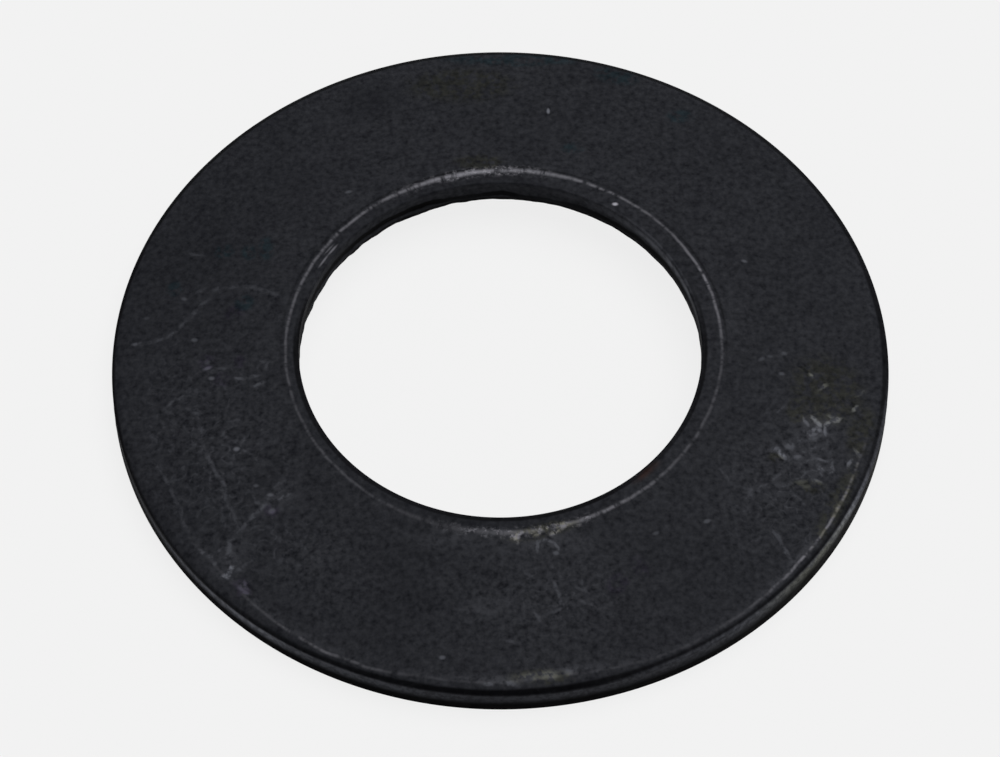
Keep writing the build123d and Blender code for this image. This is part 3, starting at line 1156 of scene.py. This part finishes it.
def lay_floor(stage):
    """A plain pale floor, which isn't part of the object."""
    bpy.ops.object.select_all(action="DESELECT")
    bpy.ops.mesh.primitive_plane_add(size=stage.floor_size)
    floor = bpy.context.object
    floor.name = "floor"
    material = bpy.data.materials.new("floor_paper")
    material.use_nodes = True
    tree = material.node_tree
    tree.nodes.clear()
    paper = add_node(tree, "ShaderNodeBsdfDiffuse", {"Color": list(stage.floor_colour)})
    glow = add_node(tree, "ShaderNodeEmission", {"Color": list(stage.floor_colour)})
    path = add_node(tree, "ShaderNodeLightPath")
    share = strongest(tree, [
        product(tree, path.outputs["Is Camera Ray"], stage.shadow_fill),
        product(tree, path.outputs["Is Glossy Ray"], stage.mirrored_fill),
        product(tree, path.outputs["Is Transmission Ray"], stage.shadow_fill)])
    surface = add_node(tree, "ShaderNodeMixShader", {
        0: share, 1: paper.outputs["BSDF"], 2: glow.outputs["Emission"]})
    add_node(tree, "ShaderNodeOutputMaterial", {"Surface": surface.outputs["Shader"]})
    floor.data.materials.append(material)


def hang_lights(stage):
    """One large soft light from the far side, and a pale surround that grows dim overhead."""
    horizon, overhead = 0.15, 0.6
    pale, dim = 0.888, 0.2
    dimming = 0.55
    black = (0, 0, 0, 1)
    tilt = pi / 2 - stage.key_elevation
    bpy.ops.object.light_add(type="SUN", rotation=(tilt, 0, stage.key_azimuth + pi / 2))
    key = bpy.context.object
    key.name = "key_light"
    key.data.angle = stage.key_spread
    key.data.energy = stage.key_strength

    world = bpy.data.worlds.new("surround")
    bpy.context.scene.world = world
    world.use_nodes = True
    tree = world.node_tree
    tree.nodes.clear()
    place = add_node(tree, "ShaderNodeTexCoord")
    parts = add_node(tree, "ShaderNodeSeparateXYZ", {"Vector": place.outputs["Generated"]})
    level = add_node(tree, "ShaderNodeMapRange", {
        "Value": parts.outputs["Z"], "From Min": horizon, "From Max": overhead,
        "To Min": pale, "To Max": dim}, interpolation_type="SMOOTHSTEP")
    path = add_node(tree, "ShaderNodeLightPath")
    seen = strongest(tree, [
        path.outputs["Is Camera Ray"], path.outputs["Is Transmission Ray"],
        product(tree, path.outputs["Is Glossy Ray"], stage.mirrored_fill)])
    light = mixed(tree, dimming, level.outputs["Result"], black)
    backdrop = mixed(tree, seen, light, list(stage.floor_colour))
    glow = add_node(tree, "ShaderNodeBackground", {"Color": backdrop})
    add_node(tree, "ShaderNodeOutputWorld", {"Surface": glow.outputs["Background"]})


def place_camera(stage):
    """The camera looks along +Y, down at the middle of the ring."""
    elevation = stage.camera_elevation
    up = Vector((0, sin(elevation), cos(elevation)))
    back = Vector((0, -cos(elevation), sin(elevation)))
    sideways_offset = -0.013 * mm
    upward_offset = -0.097 * mm
    nearest_seen = 5 * mm
    place = Vector((sideways_offset, 0, 0)) + upward_offset * up + stage.camera_distance * back
    bpy.ops.object.camera_add(location=place, rotation=(pi / 2 - elevation, 0, 0))
    camera = bpy.context.object
    camera.name = "camera"
    camera.data.lens = stage.focal_length
    camera.data.clip_start = nearest_seen
    bpy.context.scene.camera = camera


class WASHER_OT_stage(bpy.types.Operator):
    """Lays the floor, hangs the lights and places the camera"""
    bl_idname = "washer.stage"
    bl_label = "Washer stage"

    def execute(self, context):
        stage = context.scene.washer_stage
        lay_floor(stage)
        hang_lights(stage)
        place_camera(stage)
        context.scene.view_settings.view_transform = "Standard"
        return {"FINISHED"}


class WASHER_PT_panel(bpy.types.Panel):
    """Sizes, colours and operators of the washer"""
    bl_idname = "WASHER_PT_panel"
    bl_label = "Washer"
    bl_space_type = "VIEW_3D"
    bl_region_type = "UI"
    bl_category = "Washer"

    def draw(self, context):
        scene = context.scene
        for group in (scene.washer_sizes, scene.washer_finish, scene.washer_stage):
            box = self.layout.box()
            for name in group.__annotations__:
                box.prop(group, name)
        self.layout.operator(WASHER_OT_ring.bl_idname)
        self.layout.operator(WASHER_OT_stage.bl_idname)


classes = (WasherSizes, WasherFinish, WasherStage, WASHER_OT_ring, WASHER_OT_stage, WASHER_PT_panel)


def register():
    for part in classes:
        bpy.utils.register_class(part)
    bpy.types.Scene.washer_sizes = PointerProperty(type=WasherSizes)
    bpy.types.Scene.washer_finish = PointerProperty(type=WasherFinish)
    bpy.types.Scene.washer_stage = PointerProperty(type=WasherStage)


def unregister():
    del bpy.types.Scene.washer_stage
    del bpy.types.Scene.washer_finish
    del bpy.types.Scene.washer_sizes
    for part in reversed(classes):
        bpy.utils.unregister_class(part)


def main():
    """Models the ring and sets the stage."""
    register()
    bpy.ops.washer.ring()
    bpy.ops.washer.stage()


if __name__ == "__main__":
    main()
